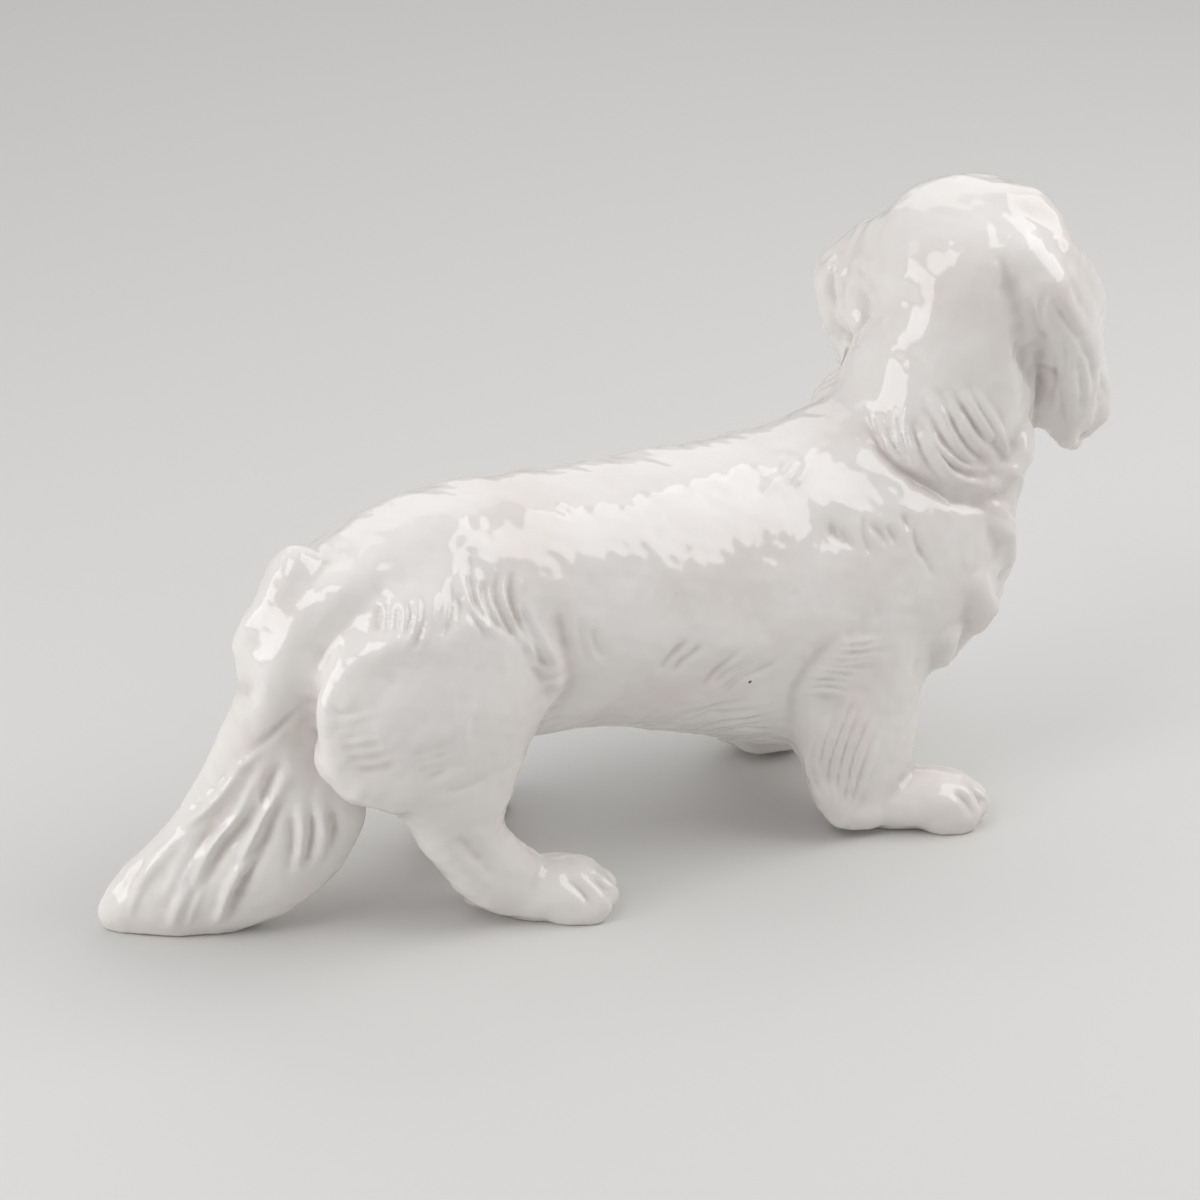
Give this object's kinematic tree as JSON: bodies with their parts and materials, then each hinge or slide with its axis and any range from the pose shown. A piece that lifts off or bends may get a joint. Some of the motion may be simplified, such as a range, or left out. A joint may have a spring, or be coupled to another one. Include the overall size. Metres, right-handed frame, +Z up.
{
  "type": "ceramic dog figure",
  "caption": "Standing long-haired dog figure in glossy white glazed earthenware, head turned to its left, with pendant ears, feathered legs and a fanned tail that reaches the ground.",
  "frame": {"origin": "middle of the figure's box, on the ground", "axes": "+X along the body towards the chest, +Y towards the dog's left, +Z up"},
  "size_m": [0.4478, 0.158, 0.2597],
  "materials": {
    "glaze": "gloss white glaze over earthenware"
  },
  "bodies": {
    "root": {"trunk": "glaze", "head": "glaze", "ear_right": "glaze", "ear_left": "glaze", "foreleg_right": "glaze", "foreleg_left": "glaze", "hindleg_right": "glaze", "hindleg_left": "glaze", "tail": "glaze"}
  },
  "joints": []
}
